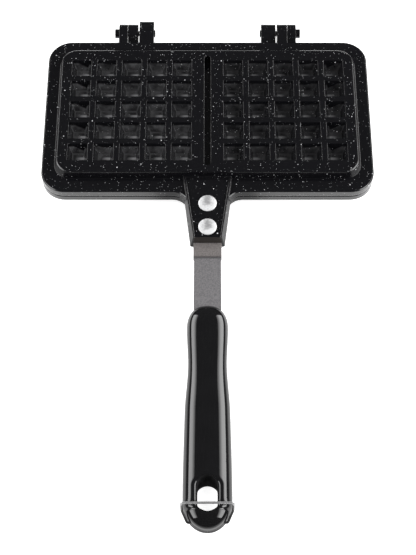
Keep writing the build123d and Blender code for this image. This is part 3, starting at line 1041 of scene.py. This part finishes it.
class WAFFLE_OT_grips(bpy.types.Operator):
    """Model the two polished grip halves"""

    bl_idname = "waffle.grips"
    bl_label = "Model Grips"

    def execute(self, context):
        grip = context.scene.waffle_grip
        material = grip_plastic(grip)
        bore = grip_bore()
        shape = GripShape(grip)
        vertices, faces, bore_walls = grip_mesh(shape)
        strap_top = STRAP_HIGH.z - PARTING_Z
        clearance = 0.1 * MM
        channel_end = NOSE_Y - STRAP_LOW.y + clearance
        channel_half_width = 9.6 * MM
        nose_reach = 10 * MM
        for name, flip, body, node in (
            ("upper_grip_moulding", 1, "lid", "upper_grip"),
            ("lower_grip_moulding", -1, "base", "lower_grip"),
        ):
            obj = piece(name, vertices, faces + bore_walls, material)
            obj.data.materials.append(bore)
            for face in obj.data.polygons[len(faces):]:
                face.material_index = 1
            build = bmesh.new()
            build.from_mesh(obj.data)
            bmesh.ops.remove_doubles(build, verts=build.verts, dist=1e-6)
            bmesh.ops.recalc_face_normals(build, faces=build.faces)
            build.to_mesh(obj.data)
            build.free()
            cut_channel(obj, channel_half_width, strap_top, nose_reach, channel_end)
            if flip < 0:
                for vertex in obj.data.vertices:
                    vertex.co.x = -vertex.co.x
                    vertex.co.z = 2 * PARTING_Z - vertex.co.z
            obj.data.shade_smooth()
            obj.data.set_sharp_from_angle(angle=radians(38))
            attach(obj, body)
            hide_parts(node)
        return {"FINISHED"}


# ------------------------------------------------------------------ wire bail
def rounded_route(corners, radius, steps=8):
    """The corners of a bent wire, each replaced by an arc."""
    route = [corners[0]]
    for before, corner, after in zip(corners, corners[1:], corners[2:]):
        back = (before - corner).normalized()
        forth = (after - corner).normalized()
        half_angle = back.angle(forth) / 2
        setback = radius / tan(half_angle)
        centre = corner + (back + forth).normalized() * (radius / sin(half_angle))
        first = corner + back * setback - centre
        last = corner + forth * setback - centre
        for step in range(steps + 1):
            turned = first.normalized().slerp(last.normalized(), step / steps)
            route.append(centre + turned * radius)
    route.append(corners[-1])
    return route


class WAFFLE_OT_bail(bpy.types.Operator):
    """Bend the wire bail that lies across the grip's tip"""

    bl_idname = "waffle.bail"
    bl_label = "Bend Bail"

    def execute(self, context):
        metal = context.scene.waffle_metal
        wire = WIRE_RADIUS
        bar_y = BAIL_HIGH.y - wire
        bar_z = BAIL_HIGH.z - wire
        corners = []
        for side in (-1, 1):
            arm = [
                Vector((side * BAIL_END_X, BAIL_PIVOT.y, BAIL_PIVOT.z)),
                Vector((side * BAIL_FOOT_X, BAIL_PIVOT.y, BAIL_PIVOT.z)),
                Vector((side * BAIL_KNEE.x, TIP_Y + BAIL_KNEE.y, PARTING_Z + BAIL_KNEE.z)),
                Vector((side * BAIL_BAR_X, bar_y, bar_z)),
            ]
            corners += arm if side < 0 else arm[::-1]
        curve = bpy.data.curves.new("wire_bail", "CURVE")
        curve.dimensions = "3D"
        curve.bevel_depth = wire
        curve.bevel_resolution = 6
        curve.use_fill_caps = True
        route = rounded_route(corners, metal.wire_bend_radius)
        spline = curve.splines.new("POLY")
        spline.points.add(len(route) - 1)
        for point, place in zip(spline.points, route):
            point.co = (*place, 1)
        spline.use_smooth = True
        curve.materials.append(bail_wire(metal))
        bail = bpy.data.objects.new("wire_bail", curve)
        context.scene.collection.objects.link(bail)
        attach(bail, "bail")
        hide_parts("locking_bail")
        return {"FINISHED"}


# ------------------------------------------------------------------ studio
def soft_panel(name, place, size, radiance, fade=0.0):
    """A soft light panel that faces the iron, and fades towards its upper edge."""
    light = bpy.data.lights.new(name, "AREA")
    light.shape = "RECTANGLE"
    light.size, light.size_y = size
    light.energy = radiance * size[0] * size[1] * pi
    light.use_nodes = True
    graph = Graph(light.node_tree)
    height = graph.parts(graph.node("ShaderNodeNewGeometry").outputs["Parametric"])["Y"]
    emission = next(node for node in light.node_tree.nodes if node.type == "EMISSION")
    graph.fill(emission.inputs["Strength"], graph.rise(height, 0.5, 1.0, 1.0, 1.0 - fade))
    aim = Vector((0.0, -0.02, 0.02))
    panel = bpy.data.objects.new(name, light)
    panel.location = place
    panel.rotation_euler = (aim - Vector(place)).to_track_quat("-Z", "Y").to_euler()
    bpy.context.scene.collection.objects.link(panel)
    return panel


def mirrored_light(paper, studio):
    """How bright polish mirrors each place of the floor: zones set round the closed iron.

    Only mirror rays meet these zones, and they stay where they are when the lid or bail moves.
    """
    x, along, _ = paper.parts(paper.spot)
    across = paper.size(x)
    # Beside the handle the bright paper ends nearer to the middle line than beside the plates
    by_plates = paper.rise(along, -50 * MM, 20 * MM)
    by_handle = paper.rise(across, studio.floor_near, studio.floor_far, 1.0, 0.0)
    sides = paper.plus(
        paper.times(by_handle, paper.remainder(by_plates)),
        paper.times(paper.rise(across, 118 * MM, 165 * MM, 1.0, 0.1), by_plates),
    )
    # Round the tip a bright ring lies a little way off, and the paper is dark far in front
    tip_radius = 19 * MM
    tip_centre = TIP_Y + tip_radius
    forward = paper.maths("MINIMUM", paper.minus(along, tip_centre), 0.0)
    from_tip = paper.minus(paper.distance(across, forward), tip_radius)
    ring = paper.times(
        paper.rise(from_tip, 12 * MM, 20 * MM), paper.rise(from_tip, 40 * MM, 26 * MM, 0.0, 2.0)
    )
    round_tip = paper.plus(paper.rise(from_tip, 140 * MM, 40 * MM, 0.1, 0.65), ring)
    round_tip = paper.minus(round_tip, paper.rise(from_tip, 16 * MM, 4 * MM, 0.0, 0.3))
    beside = paper.rise(along, -60 * MM, -10 * MM, 0.78, 1.3)
    ahead = paper.rise(along, tip_centre, tip_centre - 20 * MM)
    front = paper.plus(paper.times(round_tip, ahead), paper.times(beside, paper.remainder(ahead)))
    # A dark strip lies under the neck
    under_neck = paper.times(
        paper.rise(across, 50 * MM, 28 * MM), paper.rise(along, -30 * MM, 0.0, 0.0, 0.6)
    )
    return paper.times(sides, front, paper.remainder(under_neck))


def floor_paper(tone, studio):
    """Matt pale paper, lifted to white where the camera sees it, and lit in zones where polish does."""
    paper = Finish("floor_paper").set(
        Roughness=1.0, Specular_IOR_Level=0.0, Emission_Color=(1, 1, 1, 1)
    )
    rays = paper.node("ShaderNodeLightPath").outputs
    seen = paper.times(rays["Is Camera Ray"], studio.floor_lift)
    mirrored = paper.greatest(rays["Is Glossy Ray"], rays["Is Transmission Ray"])
    lit = mirrored_light(paper, studio)
    glow = paper.times(mirrored, studio.floor_mirrored, lit)
    paper.feed(paper.plus(seen, glow), "Emission Strength")
    dark = paper.maths("MULTIPLY", mirrored, paper.remainder(lit), clamp=True)
    paper.feed(paper.mix(dark, (tone,) * 3, (0.02,) * 3), "Base Color")
    return paper.material


def room_walls(level):
    """Dim, even walls and ceiling around the lights."""
    white = (1, 1, 1, 1)
    dim = (0.02, 0.02, 0.02, 1)
    walls = Finish("room_walls")
    walls.set(Base_Color=dim, Roughness=1.0, Emission_Color=white, Emission_Strength=level)
    return walls.material


class WAFFLE_OT_studio(bpy.types.Operator):
    """Set up the floor, the room, the lights and the camera"""

    bl_idname = "waffle.studio"
    bl_label = "Set Up Studio"

    def execute(self, context):
        studio = context.scene.waffle_studio
        scene = context.scene
        scene.view_settings.view_transform = "Standard"
        # Floor
        mesh = bpy.data.meshes.new("floor")
        reach = 2.1
        gap = 0.05 * MM
        z = BASE_Z - gap
        corners = [(-reach, -reach, z), (reach, -reach, z), (reach, reach, z), (-reach, reach, z)]
        mesh.from_pydata(corners, [], [(0, 1, 2, 3)])
        floor = bpy.data.objects.new("floor", mesh)
        scene.collection.objects.link(floor)
        mesh.materials.append(floor_paper(0.9, studio))
        # Room, and the white behind it that only shows directly
        room_radius = 3.0
        bpy.ops.mesh.primitive_uv_sphere_add(segments=32, ring_count=16, radius=room_radius)
        room = context.object
        room.name = "room"
        room.data.materials.append(room_walls(studio.room_level))
        room.visible_camera = False
        world = bpy.data.worlds.new("background")
        scene.world = world
        world.use_nodes = True
        world.node_tree.nodes["Background"].inputs["Color"].default_value = (1, 1, 1, 1)
        # Lights: a panel on either side, and one overhead that polish doesn't mirror
        apart = 1.05
        forth = 0.1
        fade = 0.75
        soft_panel("right_panel", (apart, forth, 0.67), (2.25, 0.82), studio.right_panel_radiance, fade)
        soft_panel("left_panel", (-apart, forth, 0.61), (2.25, 0.7), studio.left_panel_radiance, fade)
        overhead = soft_panel("overhead", (0.0, -0.5, 1.5), (1.2, 1.2), studio.overhead_radiance)
        overhead.visible_glossy = False
        # Camera
        data = bpy.data.cameras.new("camera")
        data.sensor_fit = "VERTICAL"
        data.sensor_height = 24.0
        data.lens = studio.focal_length
        camera = bpy.data.objects.new("camera", data)
        camera.location = (0.34 * MM, -studio.camera_setback, studio.camera_height)
        camera.rotation_euler = (studio.camera_tilt, 0, 0)
        scene.collection.objects.link(camera)
        scene.camera = camera
        return {"FINISHED"}


# ------------------------------------------------------------------ panel and registration
OPERATORS = (
    WAFFLE_OT_castings,
    WAFFLE_OT_steelwork,
    WAFFLE_OT_rivets,
    WAFFLE_OT_grips,
    WAFFLE_OT_bail,
    WAFFLE_OT_studio,
)
SETTINGS = {
    "waffle_coat": WaffleCoatSettings,
    "waffle_grip": WaffleGripSettings,
    "waffle_metal": WaffleMetalSettings,
    "waffle_studio": WaffleStudioSettings,
}


class WAFFLE_PT_panel(bpy.types.Panel):
    """Lists the steps that dress the waffle iron"""

    bl_label = "Waffle Iron"
    bl_idname = "WAFFLE_PT_panel"
    bl_space_type = "VIEW_3D"
    bl_region_type = "UI"
    bl_category = "Waffle Iron"

    def draw(self, context):
        for operator in OPERATORS:
            self.layout.operator(operator.bl_idname)
        for name in SETTINGS:
            settings = getattr(context.scene, name)
            box = self.layout.box()
            for setting in settings.bl_rna.properties:
                if setting.identifier not in ("rna_type", "name"):
                    box.prop(settings, setting.identifier)


def register():
    for settings in SETTINGS.values():
        bpy.utils.register_class(settings)
    for name, settings in SETTINGS.items():
        setattr(bpy.types.Scene, name, PointerProperty(type=settings))
    for operator in OPERATORS:
        bpy.utils.register_class(operator)
    bpy.utils.register_class(WAFFLE_PT_panel)


def unregister():
    bpy.utils.unregister_class(WAFFLE_PT_panel)
    for operator in reversed(OPERATORS):
        bpy.utils.unregister_class(operator)
    for name in SETTINGS:
        delattr(bpy.types.Scene, name)
    for settings in SETTINGS.values():
        bpy.utils.unregister_class(settings)


def main():
    register()
    flecks_group()
    grain_group()
    pockets_group()
    smooth_faces_group()
    for operator in OPERATORS:
        step = getattr(bpy.ops.waffle, operator.bl_idname.split(".")[1])
        step()


if __name__ == "__main__":
    main()
